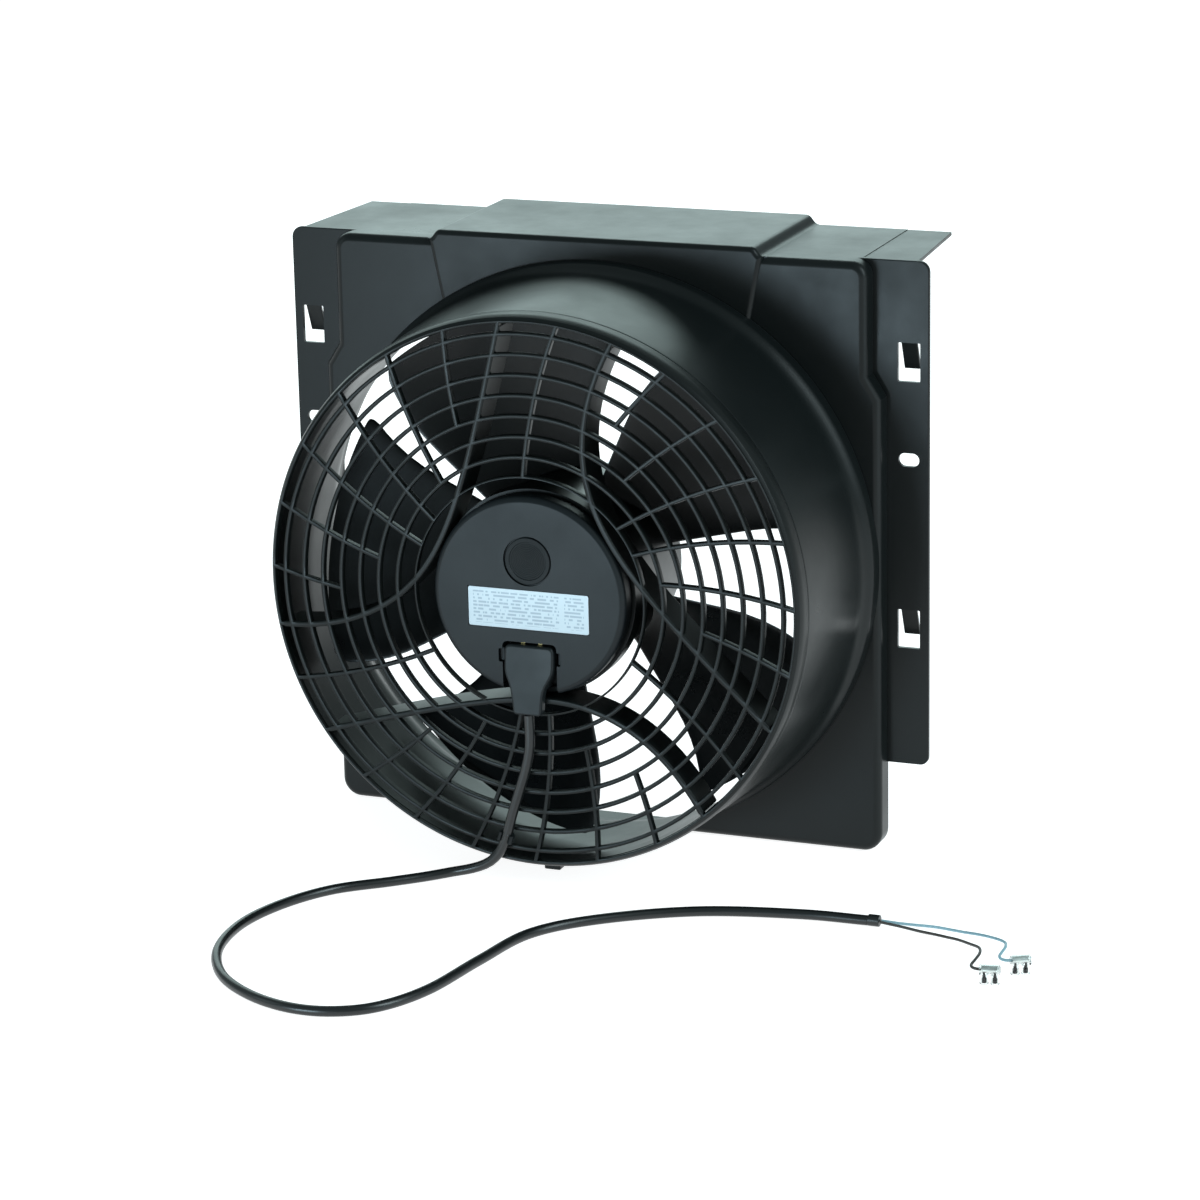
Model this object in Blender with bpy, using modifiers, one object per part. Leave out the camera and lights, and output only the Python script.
"""Fan and cowl unit of a hydraulic oil cooler.

Metres, +Z up. The fan's axis runs along Y. The guard faces -Y and the open back faces +Y.
The origin is on the standing surface, below the middle of the unit's box without its lead.
Angles round the fan's axis are in degrees, clockwise from the top as seen from the guard side.
"""

import math

import bmesh
import bpy
from mathutils import Matrix, Vector

# ---------------------------------------------------------------- driving dimensions
GAP = 0.0003                 # left between pieces that touch
WALL = 0.0025                # wall of the moulded cowl

FLANGE_HALF = 0.190          # half width over the side wings
FLANGE_TOP = 0.3372
FLANGE_BOTTOM = 0.0505
FLANGE_FRONT = 0.0175        # y of the wings' front face
FLANGE_BACK = 0.0200
BODY_FRONT = 0.0051          # y of the box front
BODY_HALF_TOP = 0.1581       # half width above the jog
BODY_HALF = 0.1659           # half width below the jog
JOG_TOP = 0.2736
JOG_BOTTOM = 0.2612
BODY_CORNER = 0.0110
BODY_TOP_CORNER = 0.0090
EDGE_ROUND = 0.0045
WING_CORNER_TOP = 0.0062
WING_CORNER_LOW = 0.0050
PLATE_BACK = 0.1020          # y of the top plate's back edge
PLATE_HALF_FRONT = 0.1834
PLATE_HALF_BACK = 0.1776
RAISED_TOP = 0.3426          # top of the raised middle of the plate
RAISED_HALF = 0.0940
RAISED_SLOPE = 0.0040
RAISED_FRONT = 0.0032
RAISED_HALF_LOW = 0.0830     # half width of the raised front panel at its foot
RAISED_LOW = 0.2580

WINDOW_X = 0.1785
WINDOW_HALF = 0.00645
WINDOWS_Z = ((0.2698, 0.2916), (0.1182, 0.1403))
SLOT_Z = 0.2259
SLOT_HALF_LENGTH = 0.0060
SLOT_HALF_HEIGHT = 0.0038
TONGUE_WIDTH = 0.0091
TONGUE_LENGTH = 0.0175
TONGUE_THICKNESS = 0.0022
TONGUE_LEAN = 22.0

AXIS_Z = 0.1652              # height of the fan's axis
RIM_BACK = -0.0879           # y where the guard's rim meets the collar
COLLAR_OUTSIDE = ((0.1556, -0.0876), (0.1575, -0.060), (0.1592, -0.030), (0.1600, -0.014),
                  (0.1620, -0.0070), (0.1642, -0.0030), (0.1650, 0.0005), (0.1650, 0.0065))
COLLAR_INSIDE = ((0.1530, -0.0890), (0.1545, -0.060), (0.1564, -0.030), (0.1574, -0.012),
                 (0.1590, -0.004), (0.1618, 0.0015), (0.1622, 0.0120))
FOOT_HALF = 0.0048
FOOT_FRONT = -0.0765
FOOT_BACK = -0.0665
FOOT_ANGLES = (180.0, 240.0)

GUARD_FRONT = -0.1015
GUARD_BACK = -0.0973
RIM_RADIUS = 0.1556
RIM_INSIDE = 0.1510
GRILLE_RADIUS = 0.1525
RING_OUTER = 0.1454
RING_STEP = 0.01128
RING_COUNT = 8
BAR_WIDTH = 0.0024
SPOKE_LEAN = 105.0           # degrees per metre that every spoke turns on its way in
LOOP_CENTRES = (67.15, 187.15, 307.15)
LOOP_FOOT = 0.0585           # radius of a strut loop's nearest point
LOOP_CURVE = 3.47            # how fast a loop opens, per metre
STRUT_WIDTH = 0.0034
STRUT_BACK = -0.0790
# angle from a loop's centre at the rim, and the ring where the spoke ends
LOOP_SPOKES = ((-35.1, 3), (-21.1, 5), (-7.1, 7), (7.1, 7), (21.1, 6), (35.1, 4))
MIDDLE_SPOKE = 60.2
PAN_RADIUS = 0.0578
PAN_INSIDE = 0.0505
PAN_FRONT = -0.0897
PAN_FLOOR_FRONT = -0.0800
PAN_FLOOR_BACK = -0.0770
PAN_HOLE = 0.0150
POST_RADIUS = 0.0030
POST_FRONT = -0.0864
SCREW_CIRCLE = 0.0400

COVER_RADIUS = 0.0560
COVER_INSIDE = 0.0534
COVER_FRONT = -0.1020
COVER_FACE_BACK = -0.0998
COVER_SKIRT_BACK = -0.0912
VENT_RADIUS = 0.0132
VENT_BACK = -0.1010
VENT_HEIGHT = 0.0202
LABEL_WIDTH = 0.0703
LABEL_HEIGHT = 0.0221
LABEL_DROP = 0.0073
LABEL_BACK = -0.1016
POCKET_HALF = 0.0158         # half width of the plug's pocket
POCKET_TOP = -0.0265         # height from the axis
POCKET_FLOOR = -0.0930
SEAL_OUTSIDE = 0.0558
SEAL_INSIDE = 0.0536
SEAL_FRONT = -0.0909
SEAL_BACK = -0.0900
BOARD_OUTSIDE = 0.0460
BOARD_INSIDE = 0.0060
BOARD_FRONT = -0.0883
BOARD_BACK = -0.0867
CAPACITOR_X = 0.0220
CAPACITOR_HEIGHT = 0.0250    # from the axis
CAPACITOR_RADIUS = 0.0065
CAPACITOR_FRONT = -0.0985
CHOKE_HEIGHT = 0.0370        # from the axis

PLUG_TOP = -0.0273           # height from the axis
PLUG_SHOULDER = -0.0530
PLUG_LOW = -0.0656
PLUG_FRONT = -0.1080
PLUG_BACK = -0.0940
PLUG_TAIL_BACK = -0.1020
CONTACT_X = 0.0050
CONTACT_Y = -0.0980
CONTACT_HALF_WIDTH = 0.0012
CONTACT_HALF_DEPTH = 0.0004
CONTACT_LOW = -0.0350        # height from the axis
CONTACT_HIGH = -0.0210

STATOR_FRONT = -0.0610
STATOR_BACK = -0.0330
STATOR_RADIUS = 0.0423
STATOR_BORE = 0.0143
YOKE_RADIUS = 0.0200
TOOTH_COUNT = 12
TOOTH_HALF = 0.0030
TOOTH_NECK = 0.0385          # radius where a tooth widens into its tip
TIP_INSIDE = 0.0400
SLOT_HALF_ANGLE = 2.2        # half of the gap between two tooth tips
COIL_THICKNESS = 0.0020
COIL_INNER = 0.0228
COIL_HEIGHT = 0.0140
SHAFT_RADIUS = 0.0040
CAN_RADIUS = 0.0496
CAN_INSIDE = 0.0478
CAN_FRONT = -0.0650
CAN_BACK = -0.0120
BEARING_WIDTH = 0.0070
BEARING_FRONTS = {"front": -0.0760, "rear": -0.0334}
BALL_COUNT = 6
BALL_PITCH = 0.0076
BALL_RADIUS = 0.0015
CAGE_HALF = 0.0006           # half width of the ring that carries the balls
BEARING_OUTSIDE = 0.0110

HUB_RADIUS = 0.0530
HUB_INSIDE = 0.0499
HUB_FRONT = -0.0640
HUB_BACK = -0.0040
TIP_RADIUS = 0.1500
BLADE_COUNT = 5
BLADE_FIRST = 50.8           # middle of the first blade, in degrees
BLADE_HALF_ANGLE = 26.5
BLADE_MIDDLE = -0.0330
BLADE_THICKNESS = 0.0026

CORD_RADIUS = 0.0028
CORE_RADIUS = 0.0008
CORD_ROUTE = (
    (0.0000, -0.1050, 0.0993), (0.0003, -0.1051, 0.0910), (0.0002, -0.1053, 0.0810),
    (-0.0022, -0.1054, 0.0690), (-0.0062, -0.1056, 0.0560), (-0.0104, -0.1058, 0.0430),
    (-0.0138, -0.1060, 0.0310), (-0.0163, -0.1062, 0.0235), (-0.0204, -0.1063, 0.0166),
    (-0.0265, -0.1064, 0.0112), (-0.0356, -0.1066, 0.0072), (-0.0480, -0.1085, 0.0042),
    (-0.0600, -0.1163, 0.0029), (-0.0753, -0.1296, 0.0028), (-0.1010, -0.1518, 0.0028),
    (-0.1177, -0.1823, 0.0028), (-0.1249, -0.2172, 0.0028), (-0.1195, -0.2550, 0.0028),
    (-0.1012, -0.2873, 0.0028), (-0.0749, -0.3084, 0.0028), (-0.0475, -0.3180, 0.0028),
    (-0.0240, -0.3155, 0.0028), (-0.0045, -0.3015, 0.0028), (0.0098, -0.2719, 0.0028),
    (0.0185, -0.2250, 0.0028), (0.0290, -0.1800, 0.0028), (0.0571, -0.1480, 0.0028),
    (0.1032, -0.1205, 0.0028), (0.1558, -0.1078, 0.0028), (0.1937, -0.1055, 0.0028),
)
SLEEVE_RADIUS = 0.0032
SLEEVE_START = (0.1940, -0.1055, 0.0032)
SLEEVE_END = (0.2005, -0.1055, 0.0032)
BLUE_ROUTE = (
    (0.2009, -0.1044, 0.0030), (0.2095, -0.1026, 0.0020), (0.2182, -0.1001, 0.0011),
    (0.2290, -0.0992, 0.0009), (0.2395, -0.1020, 0.0014), (0.2475, -0.1063, 0.0026),
    (0.2553, -0.1110, 0.0042), (0.2638, -0.1176, 0.0062), (0.2728, -0.1262, 0.0084),
    (0.2775, -0.1325, 0.0095), (0.2793, -0.1390, 0.0098), (0.2792, -0.1440, 0.0093),
    (0.2789, -0.1482, 0.0086), (0.2799, -0.1509, 0.0081), (0.2822, -0.1522, 0.0079),
    (0.2846, -0.1519, 0.0078), (0.2865, -0.15087, 0.0078),
)
BLACK_ROUTE = (
    (0.2009, -0.1066, 0.0030), (0.2115, -0.1064, 0.0018), (0.2230, -0.1078, 0.0009),
    (0.2330, -0.1108, 0.0012), (0.2405, -0.1152, 0.0022), (0.2490, -0.1229, 0.0045),
    (0.2587, -0.1337, 0.0072), (0.2662, -0.1430, 0.0094), (0.2690, -0.1510, 0.0098),
    (0.2690, -0.1585, 0.0092), (0.2684, -0.1645, 0.0083), (0.2696, -0.1673, 0.0079),
    (0.2724, -0.1685, 0.0078), (0.2749, -0.16812, 0.0078),
)
# position of each terminal's middle on the floor, and the way its barrel points
TERMINALS = {"blue": ((0.2902, -0.1489), 28.0), "black": ((0.2790, -0.1674), 10.0)}
TERMINAL_LENGTH = 0.0110
TERMINAL_WIDTH = 0.0056
TERMINAL_BODY_LOW = 0.0052   # underside of the body, above its two towers
TERMINAL_HEIGHT = 0.0104
TOWER_RADIUS = 0.0024
TOWER_SPACING = 0.0056
BARREL_AXIS_Z = 0.0078
BARREL_RADIUS = 0.0017
CLAMP_RADIUS = 0.0013

SMOOTH_ANGLE = math.radians(35.0)
PARTS_NAME = "oil_cooler_fan_unit"
CUTTERS_NAME = "cutters"


# ---------------------------------------------------------------- scene and helpers
def clear_scene():
    for old in list(bpy.data.objects):
        bpy.data.objects.remove(old, do_unlink=True)
    for name in (PARTS_NAME, CUTTERS_NAME):
        old_collection = bpy.data.collections.get(name)
        if old_collection:
            bpy.data.collections.remove(old_collection)
        collection = bpy.data.collections.new(name)
        bpy.context.scene.collection.children.link(collection)


def material(name, colour, roughness, metallic=0.0):
    made = bpy.data.materials.get(name)
    if made is None:
        made = bpy.data.materials.new(name)
        made.use_nodes = True
        shader = made.node_tree.nodes["Principled BSDF"]
        shader.inputs["Base Color"].default_value = (*colour, 1.0)
        shader.inputs["Roughness"].default_value = roughness
        shader.inputs["Metallic"].default_value = metallic
        made.diffuse_color = (*colour, 1.0)
    return made


def black_plastic(name):
    return material(name, (0.012, 0.014, 0.015), 0.38)


def add_object(name, data, paint=None, cutter=False):
    """Round faces of a mesh are shaded smooth, up to its sharp edges."""
    if isinstance(data, bpy.types.Mesh):
        data.shade_smooth()
        data.set_sharp_from_angle(angle=SMOOTH_ANGLE)
    made = bpy.data.objects.new(name, data)
    bpy.data.collections[CUTTERS_NAME if cutter else PARTS_NAME].objects.link(made)
    if cutter:
        made.hide_render = True
        made.display_type = 'WIRE'
    if paint:
        data.materials.append(paint)
    return made


def mesh_from(name, shape):
    """Turn a bmesh into mesh data, with its faces pointing out."""
    bmesh.ops.recalc_face_normals(shape, faces=shape.faces)
    data = bpy.data.meshes.new(name)
    shape.to_mesh(data)
    shape.free()
    return data


def polar(radius, degrees, y=0.0):
    """A point round the fan's axis, clockwise from the top."""
    turn = math.radians(degrees)
    return Vector((radius * math.sin(turn), y, AXIS_Z + radius * math.cos(turn)))


def turned(name, profile, steps, paint=None, cutter=False, closed=True):
    """Turn (radius, y) points round the fan's axis; the outer side comes first, front to back."""
    shape = bmesh.new()
    corners = [shape.verts.new((radius, 0.0, -y)) for radius, y in profile]
    for first, second in zip(corners, corners[1:]):
        shape.edges.new((first, second))
    if closed:
        shape.edges.new((corners[-1], corners[0]))
    data = bpy.data.meshes.new(name + "_profile")
    shape.to_mesh(data)
    shape.free()
    profile_object = bpy.data.objects.new(name + "_profile", data)
    bpy.context.scene.collection.objects.link(profile_object)
    screw = profile_object.modifiers.new("turn", 'SCREW')
    screw.steps = steps
    screw.render_steps = steps
    screw.use_merge_vertices = True
    screw.merge_threshold = 0.00001
    bpy.context.view_layer.update()
    depsgraph = bpy.context.evaluated_depsgraph_get()
    solid = bpy.data.meshes.new_from_object(profile_object.evaluated_get(depsgraph))
    bpy.data.objects.remove(profile_object, do_unlink=True)
    made = add_object(name, solid, paint, cutter)
    made.location = (0.0, 0.0, AXIS_Z)
    made.rotation_euler = (math.pi / 2, 0.0, 0.0)
    return made


def ring(name, outside, inside, front, back, steps, paint=None, cutter=False):
    profile = ((outside, front), (outside, back), (inside, back), (inside, front))
    return turned(name, profile, steps, paint, cutter)


def box(name, low, high, paint=None, cutter=False):
    shape = bmesh.new()
    bmesh.ops.create_cube(shape, size=1.0)
    size = Vector(high) - Vector(low)
    middle = (Vector(high) + Vector(low)) / 2
    bmesh.ops.scale(shape, vec=size, verts=shape.verts)
    bmesh.ops.translate(shape, vec=middle, verts=shape.verts)
    return add_object(name, mesh_from(name, shape), paint, cutter)


def rod(name, start, end, radius, sides, paint=None, cutter=False):
    """A cylinder between two points."""
    start = Vector(start)
    end = Vector(end)
    shape = bmesh.new()
    bmesh.ops.create_cone(shape, cap_ends=True, segments=sides, radius1=radius, radius2=radius,
                          depth=(end - start).length)
    data = mesh_from(name, shape)
    made = add_object(name, data, paint, cutter)
    made.location = (start + end) / 2
    made.rotation_mode = 'QUATERNION'
    made.rotation_quaternion = (end - start).to_track_quat('Z', 'Y')
    return made


def slab(name, outline, front, back, paint=None, cutter=False, front_round=0.0, segments=3):
    """Extrude an (x, z) outline along Y; its front edges may be rounded."""
    shape = bmesh.new()
    face = shape.faces.new([shape.verts.new((x, front, z)) for x, z in outline])
    pushed = bmesh.ops.extrude_face_region(shape, geom=[face])
    moved = [item for item in pushed["geom"] if isinstance(item, bmesh.types.BMVert)]
    bmesh.ops.translate(shape, vec=(0.0, back - front, 0.0), verts=moved)
    bmesh.ops.recalc_face_normals(shape, faces=shape.faces)
    if front_round:
        edges = [edge for edge in shape.edges
                 if all(abs(v.co.y - front) < 1e-7 for v in edge.verts)]
        bmesh.ops.bevel(shape, geom=edges, offset=front_round, segments=segments, profile=0.5,
                        affect='EDGES')
    return add_object(name, mesh_from(name, shape), paint, cutter)


def combine(target, others, operation='UNION'):
    """Add live Booleans to target; the other objects become guides in the cutters collection."""
    for other in others:
        step = target.modifiers.new(operation.lower(), 'BOOLEAN')
        step.operation = operation
        step.solver = 'EXACT'
        step.object = other
    return target


def cut(target, others):
    return combine(target, others, 'DIFFERENCE')


def arc(centre, radius, first, last, steps):
    """Points on an arc in the XZ plane, in degrees from +X."""
    turns = [math.radians(first + (last - first) * i / steps) for i in range(steps + 1)]
    return [(centre[0] + radius * math.cos(t), centre[1] + radius * math.sin(t)) for t in turns]


def mirrored(right_side):
    """Close an outline from its right side, which runs from the top down."""
    return list(right_side) + [(-x, z) for x, z in reversed(right_side)]


# ---------------------------------------------------------------- cowl
def body_outline(inset=0.0):
    corner = BODY_CORNER - inset
    top_corner = BODY_TOP_CORNER - inset
    side = BODY_HALF - inset
    upper = BODY_HALF_TOP - inset
    right = arc((upper - top_corner, FLANGE_TOP - inset - top_corner), top_corner, 90.0, 0.0, 4)
    right += [(upper, JOG_TOP), (side, JOG_BOTTOM)]
    right += arc((side - corner, inset + corner), corner, 0.0, -90.0, 4)
    return mirrored(right)


def wing_outline():
    top = WING_CORNER_TOP
    low = WING_CORNER_LOW
    right = arc((FLANGE_HALF - top, FLANGE_TOP - top), top, 90.0, 0.0, 3)
    right += arc((FLANGE_HALF - low, FLANGE_BOTTOM + low), low, 0.0, -90.0, 3)
    return mirrored(right)


def raised_outline():
    return mirrored(((RAISED_HALF, RAISED_TOP), (RAISED_HALF + RAISED_SLOPE, FLANGE_TOP),
                     (RAISED_HALF_LOW, RAISED_LOW)))


def top_plate():
    shape = bmesh.new()
    low = FLANGE_TOP - WALL
    corners = ((PLATE_HALF_FRONT, FLANGE_FRONT + 0.0002), (PLATE_HALF_BACK, PLATE_BACK),
               (-PLATE_HALF_BACK, PLATE_BACK), (-PLATE_HALF_FRONT, FLANGE_FRONT + 0.0002))
    face = shape.faces.new([shape.verts.new((x, y, low)) for x, y in corners])
    pushed = bmesh.ops.extrude_face_region(shape, geom=[face])
    moved = [item for item in pushed["geom"] if isinstance(item, bmesh.types.BMVert)]
    bmesh.ops.translate(shape, vec=(0.0, 0.0, WALL), verts=moved)
    return add_object("top_plate_guide", mesh_from("top_plate_guide", shape), cutter=True)


def tongue(side, window_top):
    """A hook tongue: it hangs from the window's top edge and leans back."""
    shape = bmesh.new()
    bmesh.ops.create_cube(shape, size=1.0)
    bmesh.ops.scale(shape, vec=(TONGUE_WIDTH, TONGUE_THICKNESS, TONGUE_LENGTH), verts=shape.verts)
    bmesh.ops.translate(shape, vec=(0.0, 0.0, -TONGUE_LENGTH / 2), verts=shape.verts)
    lean = Matrix.Rotation(math.radians(TONGUE_LEAN), 3, 'X')
    bmesh.ops.rotate(shape, matrix=lean, verts=shape.verts)
    place = (side * WINDOW_X, (FLANGE_FRONT + FLANGE_BACK) / 2, window_top + 0.0007)
    bmesh.ops.translate(shape, vec=place, verts=shape.verts)
    return add_object("tongue_guide", mesh_from("tongue_guide", shape), cutter=True)


def collar_foot(degrees):
    """A lug under the collar; the lowest one carries the unit on the floor."""
    inner = 0.1550
    shape = bmesh.new()
    bmesh.ops.create_cube(shape, size=1.0)
    size = (2 * FOOT_HALF, FOOT_BACK - FOOT_FRONT, AXIS_Z - inner)
    bmesh.ops.scale(shape, vec=size, verts=shape.verts)
    middle = (0.0, (FOOT_FRONT + FOOT_BACK) / 2, (AXIS_Z + inner) / 2)
    bmesh.ops.translate(shape, vec=middle, verts=shape.verts)
    turn = Matrix.Rotation(math.radians(degrees), 3, 'Y')
    bmesh.ops.rotate(shape, matrix=turn, verts=shape.verts)
    bmesh.ops.translate(shape, vec=(0.0, 0.0, AXIS_Z), verts=shape.verts)
    return add_object("foot_guide", mesh_from("foot_guide", shape), cutter=True)


def slot_outline(side):
    straight = SLOT_HALF_LENGTH - SLOT_HALF_HEIGHT
    x = side * WINDOW_X
    points = arc((x + straight, SLOT_Z), SLOT_HALF_HEIGHT, 90.0, -90.0, 6)
    points += arc((x - straight, SLOT_Z), SLOT_HALF_HEIGHT, -90.0, -270.0, 6)
    return points


def opening_cutters():
    """The hook windows and the slots in the wings."""
    cutters = []
    for side in (-1, 1):
        for low, high in WINDOWS_Z:
            x = side * WINDOW_X
            cutters.append(box("window_cutter", (x - WINDOW_HALF, 0.010, low),
                               (x + WINDOW_HALF, 0.030, high), cutter=True))
        cutters.append(slab("slot_cutter", slot_outline(side), 0.010, 0.030, cutter=True))
    return cutters


def make_cowl():
    cowl = slab("cowl", body_outline(), BODY_FRONT, FLANGE_BACK, black_plastic("cowl_plastic"),
                front_round=EDGE_ROUND)
    wings = slab("wings_guide", wing_outline(), FLANGE_FRONT, FLANGE_BACK - 0.0001, cutter=True)
    raised = slab("raised_guide", raised_outline(), RAISED_FRONT, BODY_FRONT + 0.0040, cutter=True,
                  front_round=0.0025, segments=2)
    lid_low = FLANGE_TOP - WALL - 0.0001
    lid_right = ((RAISED_HALF, RAISED_TOP), (RAISED_HALF + RAISED_SLOPE, FLANGE_TOP - 0.0001),
                 (RAISED_HALF + RAISED_SLOPE, lid_low))
    lid = slab("lid_guide", mirrored(lid_right), BODY_FRONT + 0.0007, PLATE_BACK - 0.0001,
               cutter=True)
    collar_side = list(COLLAR_OUTSIDE) + [(0.1500, 0.0065), (0.1500, -0.0876)]
    collar = turned("collar_guide", collar_side, 60, cutter=True)
    tongues = [tongue(side, window[1]) for side in (-1, 1) for window in WINDOWS_Z]
    feet = [collar_foot(degrees) for degrees in FOOT_ANGLES]
    combine(cowl, [wings, top_plate(), raised, lid, collar])
    cut(cowl, opening_cutters())
    combine(cowl, tongues + feet)

    hollow = slab("hollow_cutter", body_outline(WALL), BODY_FRONT + WALL, 0.030, cutter=True)
    lid_hollow = box("lid_hollow_cutter", (-RAISED_HALF + WALL, BODY_FRONT + WALL, 0.330),
                     (RAISED_HALF - WALL, 0.120, RAISED_TOP - WALL), cutter=True)
    tunnel_side = [(0.0, COLLAR_INSIDE[0][1])] + list(COLLAR_INSIDE) + [(0.0, COLLAR_INSIDE[-1][1])]
    tunnel = turned("tunnel_cutter", tunnel_side, 60, cutter=True, closed=False)
    cut(cowl, [hollow, lid_hollow, tunnel])


# ---------------------------------------------------------------- guard
def spoke_angle(rim_degrees, radius):
    return rim_degrees - SPOKE_LEAN * (GRILLE_RADIUS - radius)


def loop_spread(radius):
    """Half angle between a strut loop's arms where they cross this radius."""
    if radius <= LOOP_FOOT:
        return 0.0
    # on the loop, v = LOOP_FOOT + LOOP_CURVE * u * u, and the radius is the length of (u, v)
    v = -0.5 / LOOP_CURVE + math.sqrt((0.5 / LOOP_CURVE) ** 2 + LOOP_FOOT / LOOP_CURVE
                                      + radius * radius)
    return math.degrees(math.acos(min(1.0, v / radius)))


def dividers(radius, ring_index):
    """Angles of the bars that cross this radius and reach at least ring_index."""
    found = []
    for centre in LOOP_CENTRES:
        middle = spoke_angle(centre, radius)
        spread = loop_spread(radius)
        found += [middle - spread, middle + spread]
        found.append(spoke_angle(centre + MIDDLE_SPOKE, radius))
        found += [spoke_angle(centre + offset, radius)
                  for offset, last in LOOP_SPOKES if last >= ring_index]
    return sorted(angle % 360.0 for angle in found)


def ring_radii():
    return [GRILLE_RADIUS] + [RING_OUTER - RING_STEP * i for i in range(RING_COUNT)]


def make_grille():
    """A flat net of rings and spokes, thickened into bars."""
    shape = bmesh.new()
    known = {}

    def corner(radius, degrees):
        key = (round(radius, 6), round(degrees % 360.0, 3))
        if key not in known:
            known[key] = shape.verts.new(polar(radius, degrees, (GUARD_FRONT + GUARD_BACK) / 2))
        return known[key]

    radii = ring_radii()
    for band in range(RING_COUNT):
        outer, inner = radii[band], radii[band + 1]
        outside_all = dividers(outer, band - 1)
        inside_all = dividers(inner, band)
        keep_out = dividers(outer, band)
        next_in = dividers(inner, band + 1) if band + 1 < RING_COUNT else inside_all
        count = len(keep_out)
        shift = best_shift(keep_out, inside_all)
        for i in range(count):
            out_a, out_b = keep_out[i], keep_out[(i + 1) % count]
            in_a, in_b = inside_all[(i + shift) % count], inside_all[(i + 1 + shift) % count]
            outer_side = [corner(outer, a) for a in between(out_a, out_b, outside_all)]
            inner_side = [corner(inner, a) for a in between(in_a, in_b, next_in)]
            shape.faces.new(outer_side + inner_side[::-1])
    cells = list(shape.faces)
    bmesh.ops.recalc_face_normals(shape, faces=cells)
    bmesh.ops.inset_individual(shape, faces=cells, thickness=BAR_WIDTH / 2, use_even_offset=True)
    bmesh.ops.delete(shape, geom=cells, context='FACES_ONLY')
    grille = add_object("guard", mesh_from("guard", shape), black_plastic("guard_plastic"))
    thick = grille.modifiers.new("bars", 'SOLIDIFY')
    thick.thickness = GUARD_BACK - GUARD_FRONT
    thick.offset = 0.0
    return grille


def best_shift(outside, inside):
    """Index shift that pairs each bar's outer end with its inner end."""
    def miss(shift):
        total = 0.0
        for i, angle in enumerate(outside):
            other = inside[(i + shift) % len(inside)]
            total += abs((angle - other - 5.0 + 180.0) % 360.0 - 180.0)
        return total
    return min(range(-3, 4), key=miss)


def between(first, last, others):
    """The angles from first to last, with those of the others that lie between."""
    span = (last - first) % 360.0
    inside = [(angle - first) % 360.0 for angle in others]
    kept = sorted(step for step in inside if 0.01 < step < span - 0.01)
    return [first] + [first + step for step in kept] + [first + span]


def loop_points(centre):
    """The strut loop's middle line, from rim to rim."""
    reach = 0.1190
    count = 22
    points = []
    for i in range(count + 1):
        u = reach * (2.0 * i / count - 1.0)
        v = LOOP_FOOT + LOOP_CURVE * u * u
        radius = math.hypot(u, v)
        if radius <= GRILLE_RADIUS - GAP:
            degrees = spoke_angle(centre, radius) + math.degrees(math.atan2(u, v))
            points.append(polar(radius, degrees))
    return points


def make_strut(centre):
    """A deep curved rib along a loop."""
    shape = bmesh.new()
    front = GUARD_FRONT + 0.0003
    points = loop_points(centre)
    rows = [(shape.verts.new((p.x, front, p.z)), shape.verts.new((p.x, STRUT_BACK, p.z)))
            for p in points]
    for (a, b), (c, d) in zip(rows, rows[1:]):
        shape.faces.new((a, b, d, c))
    made = add_object("strut_guide", mesh_from("strut_guide", shape), cutter=True)
    thick = made.modifiers.new("thickness", 'SOLIDIFY')
    thick.thickness = STRUT_WIDTH
    thick.offset = 0.0
    thick.use_even_offset = True
    return made


def make_guard():
    guard = make_grille()
    rim_side = ((0.1530, -0.1003), (0.1548, -0.0978), (RIM_RADIUS, -0.0940),
                (RIM_RADIUS, RIM_BACK), (RIM_INSIDE, RIM_BACK), (RIM_INSIDE, -0.0990))
    rim = turned("rim_guide", rim_side, 60, cutter=True)
    pan_side = ((PAN_RADIUS, PAN_FRONT), (PAN_RADIUS, PAN_FLOOR_BACK), (PAN_HOLE, PAN_FLOOR_BACK),
                (PAN_HOLE, PAN_FLOOR_FRONT), (PAN_INSIDE, PAN_FLOOR_FRONT), (PAN_INSIDE, PAN_FRONT))
    pan = turned("pan_guide", pan_side, 36, cutter=True)
    posts = [rod("post_guide", polar(SCREW_CIRCLE, 90.0 * i, PAN_FLOOR_FRONT + 0.001),
                 polar(SCREW_CIRCLE, 90.0 * i, POST_FRONT), POST_RADIUS, 10, cutter=True)
             for i in range(4)]
    combine(guard, [rim, pan] + posts + [make_strut(centre) for centre in LOOP_CENTRES])
    holes = [rod("screw_hole_cutter", polar(SCREW_CIRCLE, 45.0 + 90.0 * i, -0.0830),
                 polar(SCREW_CIRCLE, 45.0 + 90.0 * i, -0.0750), 0.0023, 12, cutter=True)
             for i in range(4)]
    cut(guard, holes)


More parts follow.
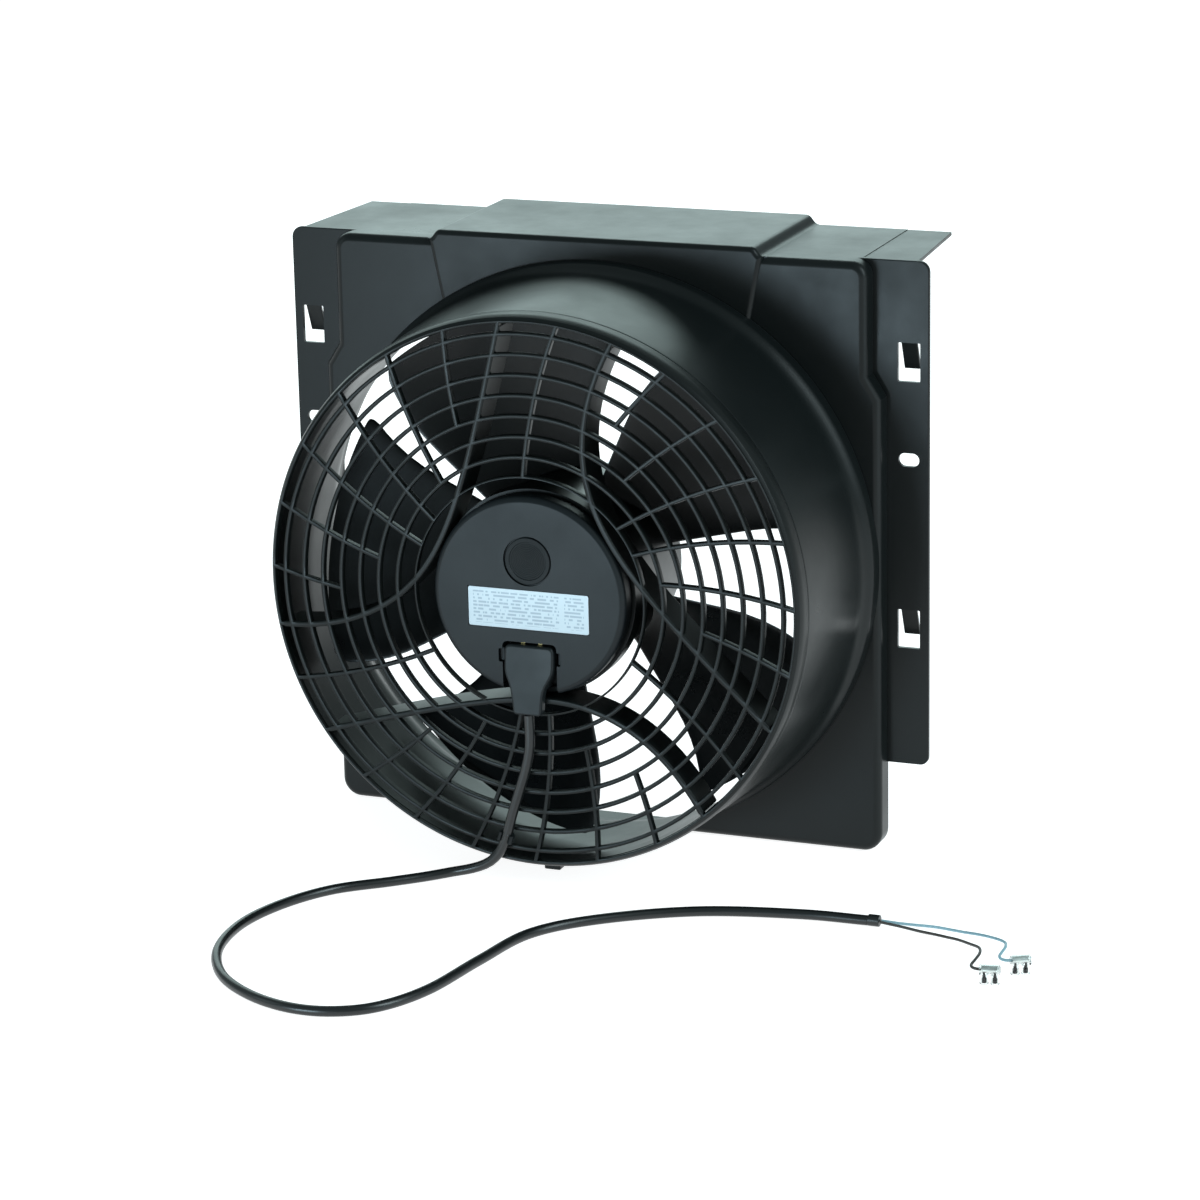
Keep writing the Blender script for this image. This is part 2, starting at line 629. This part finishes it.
# ---------------------------------------------------------------- motor cover and electronics
def make_cover():
    side = ((0.0, COVER_FRONT), (COVER_RADIUS - 0.0020, COVER_FRONT),
            (COVER_RADIUS, COVER_FRONT + 0.0020), (COVER_RADIUS, COVER_SKIRT_BACK),
            (COVER_INSIDE, COVER_SKIRT_BACK), (COVER_INSIDE, COVER_FACE_BACK), (0.0, COVER_FACE_BACK))
    cover = turned("motor_cover", side, 40, black_plastic("cover_plastic"), closed=False)
    block = box("pocket_guide", (-0.0185, -0.1010, AXIS_Z - 0.0502),
                (0.0185, COVER_SKIRT_BACK - 0.0002, AXIS_Z - 0.0240), cutter=True)
    combine(cover, [block])
    before = -0.1100
    pocket = box("pocket_cutter", (-POCKET_HALF, before, AXIS_Z - 0.0650),
                 (POCKET_HALF, POCKET_FLOOR, AXIS_Z + POCKET_TOP), cutter=True)
    vent = rod("vent_cutter", (0.0, before, AXIS_Z + VENT_HEIGHT),
               (0.0, VENT_BACK + GAP, AXIS_Z + VENT_HEIGHT), VENT_RADIUS + 0.0005, 32, cutter=True)
    label_z = AXIS_Z - LABEL_DROP
    half_w = LABEL_WIDTH / 2 + GAP
    half_h = LABEL_HEIGHT / 2 + GAP
    label = box("label_cutter", (-half_w, before, label_z - half_h),
                (half_w, LABEL_BACK + GAP, label_z + half_h), cutter=True)
    cut(cover, [pocket, vent, label] + contact_cutters(-0.0300))


def contact_cutters(low):
    """Holes for the two contacts, from a height below the axis up to above their ends."""
    half_w = CONTACT_HALF_WIDTH + 0.0005
    half_d = CONTACT_HALF_DEPTH + 0.0004
    return [box("contact_cutter", (side * CONTACT_X - half_w, CONTACT_Y - half_d, AXIS_Z + low),
                (side * CONTACT_X + half_w, CONTACT_Y + half_d, AXIS_Z - 0.0200), cutter=True)
            for side in (-1, 1)]


def make_cover_pieces():
    rod("vent_disc", (0.0, COVER_FRONT, AXIS_Z + VENT_HEIGHT), (0.0, VENT_BACK, AXIS_Z + VENT_HEIGHT),
        VENT_RADIUS, 32, black_plastic("vent_plastic"))
    label_z = AXIS_Z - LABEL_DROP
    box("rating_plate", (-LABEL_WIDTH / 2, COVER_FRONT, label_z - LABEL_HEIGHT / 2),
        (LABEL_WIDTH / 2, LABEL_BACK, label_z + LABEL_HEIGHT / 2),
        material("plate_metal", (0.62, 0.70, 0.76), 0.35, 0.6))
    ring("cover_seal", SEAL_OUTSIDE, SEAL_INSIDE, SEAL_FRONT, SEAL_BACK, 40,
         material("seal_rubber", (0.02, 0.02, 0.02), 0.8))


def make_electronics():
    """The board with its largest parts, and the two contacts that reach into the plug."""
    ring("circuit_board", BOARD_OUTSIDE, BOARD_INSIDE, BOARD_FRONT, BOARD_BACK, 32,
         material("board_green", (0.03, 0.16, 0.07), 0.5))
    height = AXIS_Z + CAPACITOR_HEIGHT
    for name, side in (("left", -1), ("right", 1)):
        rod("bus_capacitor_" + name, (side * CAPACITOR_X, CAPACITOR_FRONT, height),
            (side * CAPACITOR_X, BOARD_FRONT - GAP, height), CAPACITOR_RADIUS, 16,
            material("can_aluminium", (0.60, 0.61, 0.63), 0.35, 1.0))
        x = side * CONTACT_X
        box("contact_" + name,
            (x - CONTACT_HALF_WIDTH, CONTACT_Y - CONTACT_HALF_DEPTH, AXIS_Z + CONTACT_LOW),
            (x + CONTACT_HALF_WIDTH, CONTACT_Y + CONTACT_HALF_DEPTH, AXIS_Z + CONTACT_HIGH),
            material("contact_brass", (0.72, 0.55, 0.22), 0.3, 1.0))
    section = ((0.0095, -0.0945), (0.0095, -0.0902), (0.0080, -0.0887), (0.0060, -0.0887),
               (0.0045, -0.0902), (0.0045, -0.0945), (0.0060, -0.0960), (0.0080, -0.0960))
    choke = turned("line_choke", section, 16, material("choke_copper", (0.70, 0.32, 0.14), 0.35, 0.8))
    choke.location = (0.0, 0.0, AXIS_Z + CHOKE_HEIGHT)


# ---------------------------------------------------------------- motor
def make_motor_flange():
    side = ((0.0495, -0.0767), (0.0495, -0.0737), (0.0140, -0.0737), (0.0140, -0.0240),
            (0.0113, -0.0240), (0.0113, -0.0337), (0.0095, -0.0337), (0.0095, -0.0672),
            (0.0113, -0.0672), (0.0113, -0.0767))
    flange = turned("motor_flange", side, 24,
                    material("cast_aluminium", (0.55, 0.56, 0.57), 0.5, 1.0))
    holes = [rod("flange_hole_cutter", polar(SCREW_CIRCLE, 45.0 + 90.0 * i, -0.0800),
                 polar(SCREW_CIRCLE, 45.0 + 90.0 * i, -0.0700), 0.0022, 10, cutter=True)
             for i in range(4)]
    cut(flange, holes)


def make_motor_screws():
    steel = material("screw_steel", (0.45, 0.46, 0.48), 0.3, 1.0)
    for i in range(4):
        degrees = 45.0 + 90.0 * i
        screw = rod("motor_screw_%d" % (i + 1), polar(SCREW_CIRCLE, degrees, -0.0832),
                    polar(SCREW_CIRCLE, degrees, -0.0803), 0.0035, 12, steel)
        shank = rod("shank_guide", polar(SCREW_CIRCLE, degrees, -0.0815),
                    polar(SCREW_CIRCLE, degrees, -0.0740), 0.0019, 10, cutter=True)
        combine(screw, [shank])


def stator_outline():
    """Twelve teeth on a round yoke, each widening into a tip."""
    points = []
    pitch = 360.0 / TOOTH_COUNT
    tip_half_angle = 0.5 * pitch - SLOT_HALF_ANGLE
    for tooth in range(TOOTH_COUNT):
        middle = 90.0 - tooth * pitch
        start = middle + tip_half_angle
        end = middle - tip_half_angle
        points += [tooth_point(middle, radius, TOOTH_HALF) for radius in (YOKE_RADIUS, TOOTH_NECK)]
        points.append(on_circle(TIP_INSIDE, start))
        points += [on_circle(STATOR_RADIUS, degrees) for degrees in (start, middle, end)]
        points.append(on_circle(TIP_INSIDE, end))
        points += [tooth_point(middle, radius, -TOOTH_HALF) for radius in (TOOTH_NECK, YOKE_RADIUS)]
    return points


def on_circle(radius, degrees):
    turn = math.radians(degrees)
    return (radius * math.cos(turn), AXIS_Z + radius * math.sin(turn))


def tooth_point(middle, radius, aside):
    """A point beside a tooth's middle line; aside is towards larger angles."""
    turn = math.radians(middle)
    return (radius * math.cos(turn) - aside * math.sin(turn),
            AXIS_Z + radius * math.sin(turn) + aside * math.cos(turn))


def make_stator():
    core = slab("stator_core", stator_outline(), STATOR_FRONT, STATOR_BACK,
                material("lamination_steel", (0.30, 0.31, 0.33), 0.45, 1.0))
    bore = rod("stator_bore_cutter", (0.0, -0.0800, AXIS_Z), (0.0, -0.0100, AXIS_Z), STATOR_BORE, 32,
               cutter=True)
    cut(core, [bore])
    for tooth in range(TOOTH_COUNT):
        make_coil(tooth)


def make_coil(tooth):
    """A winding round one tooth: a square tube that is thickened."""
    half_x = TOOTH_HALF + GAP + COIL_THICKNESS / 2
    half_y = (STATOR_BACK - STATOR_FRONT) / 2 + GAP + COIL_THICKNESS / 2
    middle_y = (STATOR_BACK + STATOR_FRONT) / 2
    corners = ((half_x, half_y), (-half_x, half_y), (-half_x, -half_y), (half_x, -half_y))
    shape = bmesh.new()
    low = [shape.verts.new((x, middle_y + y, COIL_INNER)) for x, y in corners]
    loop = [shape.edges.new((low[i], low[(i + 1) % 4])) for i in range(4)]
    raised = bmesh.ops.extrude_edge_only(shape, edges=loop)
    moved = [item for item in raised["geom"] if isinstance(item, bmesh.types.BMVert)]
    bmesh.ops.translate(shape, vec=(0.0, 0.0, COIL_HEIGHT), verts=moved)
    turn = Matrix.Rotation(math.radians(360.0 / TOOTH_COUNT * tooth), 3, 'Y')
    bmesh.ops.rotate(shape, matrix=turn, verts=shape.verts)
    bmesh.ops.translate(shape, vec=(0.0, 0.0, AXIS_Z), verts=shape.verts)
    name = "stator_coil_%02d" % (tooth + 1)
    coil = add_object(name, mesh_from(name, shape), material("coil_copper", (0.72, 0.30, 0.12), 0.3, 0.9))
    thick = coil.modifiers.new("winding", 'SOLIDIFY')
    thick.thickness = COIL_THICKNESS
    thick.offset = 0.0
    thick.use_even_offset = True


def make_bearings():
    steel = material("bearing_steel", (0.62, 0.63, 0.65), 0.2, 1.0)
    for name, front in BEARING_FRONTS.items():
        back = front + BEARING_WIDTH
        middle = (front + back) / 2
        ring(name + "_bearing_outer_ring", BEARING_OUTSIDE, 0.0094, front, back, 16, steel)
        ring(name + "_bearing_inner_ring", 0.0058, SHAFT_RADIUS + GAP, front, back, 16, steel)
        balls = ring(name + "_bearing_ball_set", BALL_PITCH + CAGE_HALF, BALL_PITCH - CAGE_HALF,
                     middle - CAGE_HALF, middle + CAGE_HALF, 18, steel)
        guides = []
        for i in range(BALL_COUNT):
            degrees = 360.0 / BALL_COUNT * i
            shape = bmesh.new()
            bmesh.ops.create_icosphere(shape, subdivisions=1, radius=BALL_RADIUS)
            bmesh.ops.translate(shape, vec=polar(BALL_PITCH, degrees, middle), verts=shape.verts)
            guides.append(add_object("ball_guide", mesh_from("ball_guide", shape), cutter=True))
        combine(balls, guides)
    ring("preload_washer", 0.0109, 0.0097, -0.0687, -0.0676, 16, steel)


def make_shaft():
    steel = material("shaft_steel", (0.58, 0.59, 0.61), 0.2, 1.0)
    side = ((0.0, -0.0793), (0.0036, -0.0793), (SHAFT_RADIUS, -0.0789), (SHAFT_RADIUS, -0.0779),
            (0.0034, -0.0779), (0.0034, -0.0767), (SHAFT_RADIUS, -0.0767), (SHAFT_RADIUS, CAN_BACK),
            (0.0, CAN_BACK))
    turned("shaft", side, 24, steel, closed=False)
    circlip = ring("circlip", 0.0062, 0.0037, -0.0776, -0.0770, 24, steel)
    opening = box("circlip_cutter", (-0.0022, -0.0800, AXIS_Z), (0.0022, -0.0740, AXIS_Z + 0.0100),
                  cutter=True)
    cut(circlip, [opening])


def make_rotor():
    can_side = ((CAN_RADIUS, CAN_FRONT), (CAN_RADIUS, CAN_BACK), (SHAFT_RADIUS + GAP, CAN_BACK),
                (SHAFT_RADIUS + GAP, CAN_BACK - 0.0020), (CAN_INSIDE, CAN_BACK - 0.0020),
                (CAN_INSIDE, CAN_FRONT))
    turned("rotor_can", can_side, 36, material("rotor_steel", (0.35, 0.36, 0.38), 0.35, 1.0))
    ring("magnet_ring", CAN_INSIDE - GAP, 0.0433, -0.0630, -0.0300, 36,
         material("magnet_ferrite", (0.09, 0.09, 0.10), 0.6))


# ---------------------------------------------------------------- impeller
def blade_sweep(radius):
    """Forward sweep of the blade's middle line, in degrees."""
    share = (radius - 0.095) / 0.055
    return 5.5 * share * abs(share) if share > 0 else -0.6 * share * share


def blade_point(radius, chord, first_angle):
    """chord runs from -1 at the front edge to +1 at the rear, leading edge."""
    degrees = first_angle + blade_sweep(radius) + BLADE_HALF_ANGLE * chord
    half_depth = 0.0195 + 0.0050 * (radius - HUB_RADIUS) / (TIP_RADIUS - HUB_RADIUS)
    camber = 0.0045 * (1.0 - chord * chord)
    return polar(radius, degrees, BLADE_MIDDLE + half_depth * chord + camber)


def make_blade(number):
    first_angle = BLADE_FIRST + 360.0 / BLADE_COUNT * number
    shape = bmesh.new()
    chords = 8
    # radius, and the share of the blade's length that is left there: the tip's corners are rounded
    sections = ((0.0515, 1.0), (0.0720, 1.0), (0.0950, 1.0), (0.1180, 1.0), (0.1380, 1.0),
                (0.1470, 0.975), (TIP_RADIUS, 0.91))
    rows = []
    for radius, share in sections:
        rows.append([shape.verts.new(blade_point(radius, share * (2.0 * i / chords - 1.0), first_angle))
                     for i in range(chords + 1)])
    for inner, outer in zip(rows, rows[1:]):
        for i in range(chords):
            shape.faces.new((inner[i], inner[i + 1], outer[i + 1], outer[i]))
    made = add_object("blade_guide", mesh_from("blade_guide", shape), cutter=True)
    thick = made.modifiers.new("thickness", 'SOLIDIFY')
    thick.thickness = BLADE_THICKNESS
    thick.offset = 0.0
    return made


def make_impeller():
    side = ((HUB_RADIUS, HUB_FRONT), (HUB_RADIUS, HUB_BACK), (0.0500, HUB_BACK), (0.0500, -0.0090),
            (0.0120, -0.0090), (0.0120, -0.0117), (HUB_INSIDE, -0.0117), (HUB_INSIDE, HUB_FRONT))
    impeller = turned("impeller", side, 40, black_plastic("impeller_plastic"))
    combine(impeller, [make_blade(number) for number in range(BLADE_COUNT)])


def make_balance_clip():
    """A small spring-steel channel pushed over the hub's rear ring."""
    shape = bmesh.new()
    outline = ((0.0486, -0.0084), (0.0486, -0.0028), (0.0542, -0.0028), (0.0542, -0.0084),
               (0.0534, -0.0084), (0.0534, -0.0036), (0.0494, -0.0036), (0.0494, -0.0084))
    face = shape.faces.new([shape.verts.new((-0.0035, y, radius)) for radius, y in outline])
    pushed = bmesh.ops.extrude_face_region(shape, geom=[face])
    moved = [item for item in pushed["geom"] if isinstance(item, bmesh.types.BMVert)]
    bmesh.ops.translate(shape, vec=(0.0070, 0.0, 0.0), verts=moved)
    bmesh.ops.rotate(shape, matrix=Matrix.Rotation(math.radians(14.8), 3, 'Y'), verts=shape.verts)
    bmesh.ops.translate(shape, vec=(0.0, 0.0, AXIS_Z), verts=shape.verts)
    add_object("balance_clip", mesh_from("balance_clip", shape),
               material("clip_steel", (0.5, 0.5, 0.52), 0.3, 1.0))


# ---------------------------------------------------------------- lead
def plug_outline(low):
    """The plug seen from the front, from its top to a height below the axis."""
    full = ((0.0128, PLUG_TOP), (0.0133, PLUG_TOP - 0.0010), (0.0144, -0.0370), (0.0144, -0.0400),
            (0.0078, -0.0590), (0.0074, PLUG_LOW))
    kept = [(x, z) for x, z in full if z >= low]
    if kept[-1][1] > low:
        (x0, z0), (x1, z1) = kept[-1], full[len(kept)]
        kept.append((x0 + (x1 - x0) * (low - z0) / (z1 - z0), low))
    return mirrored([(x, AXIS_Z + z) for x, z in kept])


def make_plug():
    plug = slab("plug", plug_outline(PLUG_LOW), PLUG_FRONT, PLUG_TAIL_BACK,
                black_plastic("plug_plastic"), front_round=0.0008, segments=1)
    body = slab("plug_guide", plug_outline(PLUG_SHOULDER), PLUG_FRONT + 0.0010, PLUG_BACK, cutter=True)
    combine(plug, [body])
    cut(plug, contact_cutters(-0.0362))


def catmull(points, spacing):
    """Points about spacing apart on a smooth curve through the given points."""
    knots = [Vector(p) for p in points]
    knots = [2 * knots[0] - knots[1]] + knots + [2 * knots[-1] - knots[-2]]
    dense = []
    for a, b, c, d in zip(knots, knots[1:], knots[2:], knots[3:]):
        for i in range(20):
            t = i / 20
            dense.append(0.5 * (2 * b + (c - a) * t + (2 * a - 5 * b + 4 * c - d) * t * t
                                + (3 * b - a - 3 * c + d) * t ** 3))
    dense.append(knots[-2])
    total = sum((q - p).length for p, q in zip(dense, dense[1:]))
    count = max(2, round(total / spacing))
    step = total / count
    picked = [dense[0]]
    travelled = 0.0
    for p, q in zip(dense, dense[1:]):
        length = (q - p).length
        while len(picked) < count and travelled + length >= step * len(picked):
            share = (step * len(picked) - travelled) / length
            picked.append(p.lerp(q, share))
        travelled += length
    picked.append(dense[-1])
    return picked


def make_tube(name, route, radius, spacing, resolution, paint):
    curve = bpy.data.curves.new(name, 'CURVE')
    curve.dimensions = '3D'
    curve.bevel_depth = radius
    curve.bevel_resolution = resolution
    curve.use_fill_caps = True
    points = catmull(route, spacing)
    spline = curve.splines.new('POLY')
    spline.points.add(len(points) - 1)
    for point, place in zip(spline.points, points):
        point.co = (*place, 1.0)
    return add_object(name, curve, paint)


def make_cord_clip():
    """A clip on the guard's rim that holds the lead; it is open towards the front."""
    middle = Vector((-0.0150, -0.1061, 0.0275))
    along = Vector((-0.0025, -0.0002, -0.0080)).normalized()
    length = 0.0050
    outline = arc((0.0, 0.0), 0.0045, -40.0, 220.0, 12) + arc((0.0, 0.0), 0.0031, 220.0, -40.0, 12)
    shape = bmesh.new()
    face = shape.faces.new([shape.verts.new((x, y, 0.0)) for x, y in outline])
    pushed = bmesh.ops.extrude_face_region(shape, geom=[face])
    moved = [item for item in pushed["geom"] if isinstance(item, bmesh.types.BMVert)]
    bmesh.ops.translate(shape, vec=(0.0, 0.0, length), verts=moved)
    clip = add_object("cord_clip", mesh_from("cord_clip", shape), black_plastic("clip_plastic"))
    back = along.cross(Vector((1.0, 0.0, 0.0))).normalized()
    across = back.cross(along).normalized()
    turn = Matrix((across, back, along)).transposed().to_4x4()
    if back.y < 0:
        turn = turn @ Matrix.Rotation(math.pi, 4, 'Z')
    clip.matrix_world = Matrix.Translation(middle - along * length / 2) @ turn


def make_lead():
    black = material("cord_black", (0.015, 0.015, 0.017), 0.45)
    make_tube("power_cord", CORD_ROUTE, CORD_RADIUS, 0.0128, 2, black)
    rod("sheath_sleeve", SLEEVE_START, SLEEVE_END, SLEEVE_RADIUS, 12, black)
    blue = material("core_blue", (0.05, 0.35, 0.72), 0.4)
    dark = material("core_black", (0.02, 0.02, 0.02), 0.4)
    make_tube("core_blue", BLUE_ROUTE, CORE_RADIUS, 0.0035, 2, blue)
    make_tube("core_black", BLACK_ROUTE, CORE_RADIUS, 0.0035, 2, dark)


def make_terminal(name):
    """A one-pole terminal that stands on its two screw towers."""
    (x, y), degrees = TERMINALS[name]
    place = Matrix.Translation((x, y, 0.0)) @ Matrix.Rotation(math.radians(degrees), 4, 'Z')
    half = TERMINAL_LENGTH / 2
    height = BARREL_AXIS_Z
    steel = material("clamp_steel", (0.12, 0.12, 0.13), 0.35, 1.0)
    body = box("terminal_body_" + name, (-half, -TERMINAL_WIDTH / 2, TERMINAL_BODY_LOW),
               (half, TERMINAL_WIDTH / 2, TERMINAL_HEIGHT),
               material("terminal_nylon", (0.80, 0.84, 0.82), 0.25))
    bore = rod("barrel_cutter", (-half - 0.0010, 0.0, height), (half + 0.0010, 0.0, height),
               BARREL_RADIUS + GAP, 12, cutter=True)
    barrel = rod("barrel_" + name, (-half + 0.0012, 0.0, height), (half - 0.0012, 0.0, height),
                 BARREL_RADIUS, 12, material("barrel_brass", (0.75, 0.60, 0.28), 0.3, 1.0))
    wire_hole = rod("wire_hole_cutter", (-half - 0.0010, 0.0, height), (half - 0.0022, 0.0, height),
                    CORE_RADIUS + GAP, 10, cutter=True)
    pieces = [body, bore, barrel, wire_hole]
    towers = []
    wells = []
    for label, side in (("near", -1), ("far", 1)):
        middle = side * TOWER_SPACING / 2
        towers.append(rod("tower_guide", (middle, 0.0, 0.0), (middle, 0.0, TERMINAL_BODY_LOW + 0.0010),
                          TOWER_RADIUS, 16, cutter=True))
        wells.append(rod("well_cutter", (middle, 0.0, -0.0010), (middle, 0.0, height),
                         CLAMP_RADIUS + GAP, 12, cutter=True))
        pieces.append(rod("clamp_screw_%s_%s" % (name, label), (middle, 0.0, 0.0006),
                          (middle, 0.0, height - BARREL_RADIUS - GAP), CLAMP_RADIUS, 10, steel))
    combine(body, towers)
    cut(body, [bore] + wells)
    cut(barrel, [wire_hole])
    for piece in pieces + towers + wells:
        piece.matrix_world = place @ piece.matrix_basis


def main():
    clear_scene()
    make_cowl()
    make_guard()
    make_cover()
    make_cover_pieces()
    make_electronics()
    make_motor_flange()
    make_motor_screws()
    make_stator()
    make_bearings()
    make_shaft()
    make_rotor()
    make_impeller()
    make_balance_clip()
    make_plug()
    make_cord_clip()
    make_lead()
    for name in TERMINALS:
        make_terminal(name)


main()
